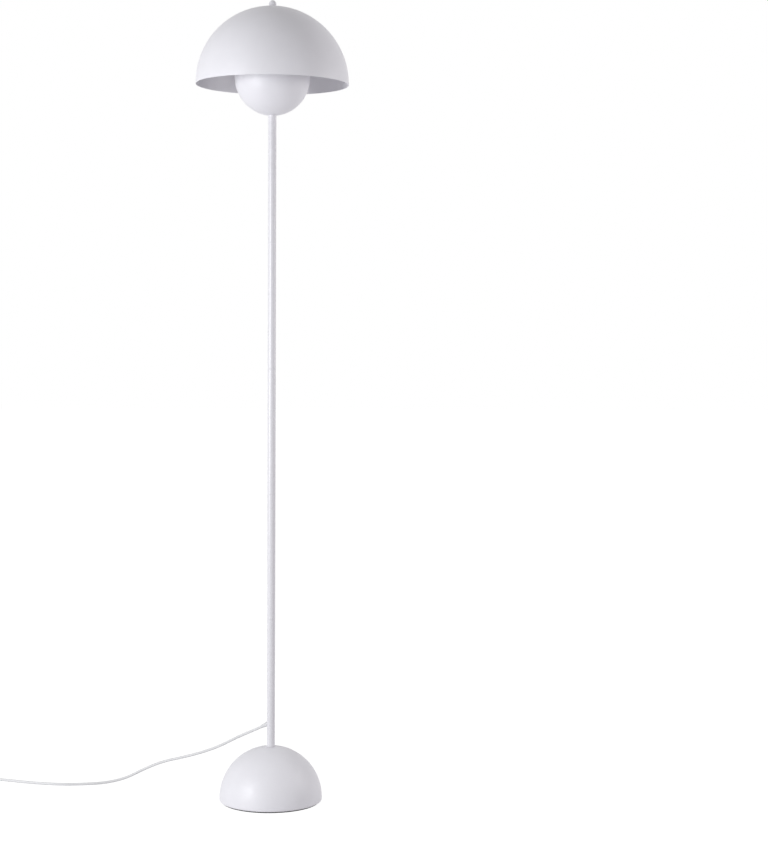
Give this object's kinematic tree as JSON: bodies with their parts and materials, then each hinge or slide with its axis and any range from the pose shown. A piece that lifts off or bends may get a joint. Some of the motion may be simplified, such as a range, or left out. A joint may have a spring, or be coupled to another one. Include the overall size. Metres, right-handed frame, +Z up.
{
  "type": "floor lamp",
  "caption": "Mushroom floor lamp: dome shade on a harp over a round lower bowl, slim screwed pole, weighted dome foot, mains cord with foot switch and plug.",
  "frame": {"origin": "centre of the underside of the foot pad, on the floor", "axes": "+Z up along the pole, the picture's camera looks along +Y with +X to its right, and the cord leaves the pole low down towards -X and +Y"},
  "size_m": [0.9831, 0.4409, 1.5829],
  "materials": {
    "white_powder_coat": "satin white powder coat",
    "white_gloss_tube": "smooth white lacquer on the tube, glossier than the shades",
    "zinc_steel": "zinc plated steel",
    "cast_weight": "rough casting",
    "pad_rubber": "dark matt rubber",
    "white_pvc": "soft white PVC",
    "white_plastic": "moulded white plastic",
    "holder_plastic": "heat proof white plastic",
    "brass": "bright brass",
    "nickel": "bright nickel plate",
    "black_glass": "black insulator",
    "opal_globe": "opal white",
    "core_brown": "brown insulation",
    "core_blue": "blue insulation"
  },
  "bodies": {
    "stand": {"bowl_lock_nut": "zinc_steel", "bowl_washer": "zinc_steel", "cord_coil": "white_pvc", "cord_lead": "white_pvc", "cord_run": "white_pvc", "cord_strain_relief": "white_pvc", "cord_tail": "white_pvc", "crown_nut": "zinc_steel", "crown_washer": "zinc_steel", "foot_pad": "pad_rubber", "foot_plate": "zinc_steel", "foot_shell": "white_powder_coat", "foot_weight": "cast_weight", "harp": "nickel", "harp_ferrules": "nickel", "harp_saddle": "zinc_steel", "harp_seat": "nickel", "head_nipple": "zinc_steel", "lampholder_body": "holder_plastic", "lampholder_cap": "holder_plastic", "lampholder_centre_contact": "brass", "lampholder_insert": "holder_plastic", "lampholder_screw_shell": "brass", "lampholder_terminals": "brass", "live_wire": "core_brown", "lower_bowl": "white_powder_coat", "neutral_wire": "core_blue", "plate_screws": "zinc_steel", "plug_body": "white_plastic", "plug_pins": "nickel", "plug_strain_relief": "white_pvc", "pole_joint_stud_1": "zinc_steel", "pole_joint_stud_2": "zinc_steel", "pole_joint_stud_3": "zinc_steel", "pole_joint_stud_4": "zinc_steel", "pole_section_1": "white_gloss_tube", "pole_section_2": "white_gloss_tube", "pole_section_3": "white_gloss_tube", "pole_section_4": "white_gloss_tube", "pole_section_5": "white_gloss_tube", "pole_thread_inserts": "zinc_steel", "switch_base": "white_plastic", "switch_contact_blades": "brass", "switch_contact_block": "holder_plastic", "switch_cover": "white_plastic", "switch_inlet_relief": "white_pvc", "switch_outlet_relief": "white_pvc", "switch_screws": "zinc_steel", "switch_spring": "zinc_steel", "tie_stud": "zinc_steel", "weight_nut": "zinc_steel"},
    "shade": {"outer_shade": "white_powder_coat", "finial_washer": "white_powder_coat"},
    "finial": {"finial_ball": "white_powder_coat"},
    "bulb": {"bulb_contact": "brass", "bulb_insulator": "black_glass", "bulb_screw_cap": "nickel", "bulb_neck": "white_plastic", "bulb_globe": "opal_globe"},
    "foot_button": {"switch_button": "white_plastic"}
  },
  "joints": [
    {"name": "shade_lift", "type": "slide", "parent": "stand", "child": "shade", "axis": [0, 0, 1], "range_m": [0, 0.165]},
    {"name": "finial_turn", "type": "hinge", "parent": "shade", "child": "finial", "pos_m": [0, 0, 1.571], "axis": [0, 0, 1], "continuous": true},
    {"name": "bulb_turn", "type": "hinge", "parent": "stand", "child": "bulb", "pos_m": [0, 0, 1.41], "axis": [0, 0, 1], "continuous": true},
    {"name": "switch_press", "type": "slide", "parent": "stand", "child": "foot_button", "axis": [0, 0, -1], "range_m": [0, 0.0035], "stiffness_N_per_m": 900, "springref_m": -0.003, "deforming": ["switch_spring"]}
  ]
}
